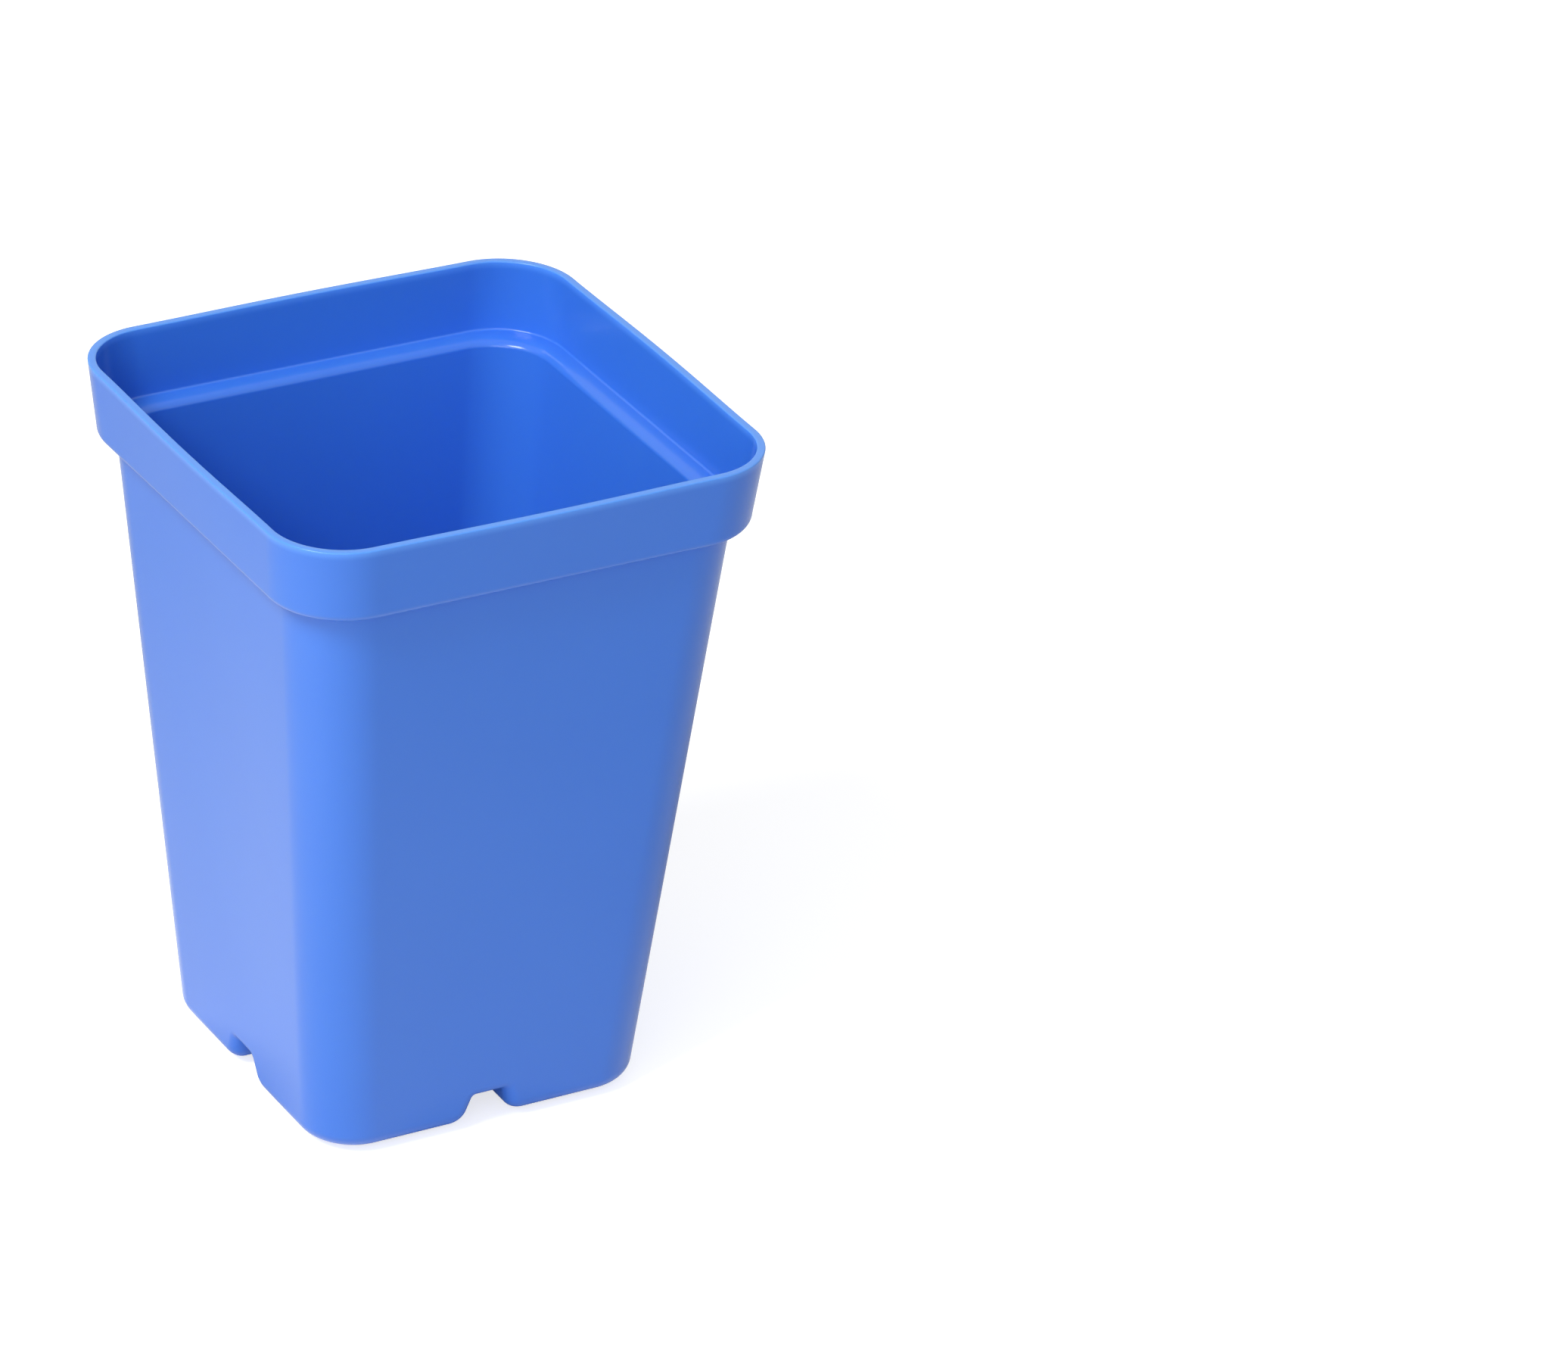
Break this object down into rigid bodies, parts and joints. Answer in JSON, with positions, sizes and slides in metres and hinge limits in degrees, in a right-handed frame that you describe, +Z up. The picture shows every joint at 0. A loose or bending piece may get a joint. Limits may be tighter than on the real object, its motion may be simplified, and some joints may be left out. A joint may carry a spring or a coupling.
{
  "type": "seed starting pot",
  "caption": "Square tapered seed starting pot with a wide collar, rounded corners, cross-channelled feet and drain holes in the base.",
  "frame": {"origin": "centre of the footprint, on the plane that the four pips under the feet stand on", "axes": "+Z up along the pot's axis, out of its mouth; X and Y square to the side walls and along the drain channels"},
  "size_m": [0.0636, 0.0636, 0.0859],
  "materials": {
    "pot_plastic": "injection-moulded blue polypropylene, satin gloss, very slightly translucent at thin edges"
  },
  "bodies": {
    "root": {"pot": "pot_plastic"}
  },
  "joints": []
}
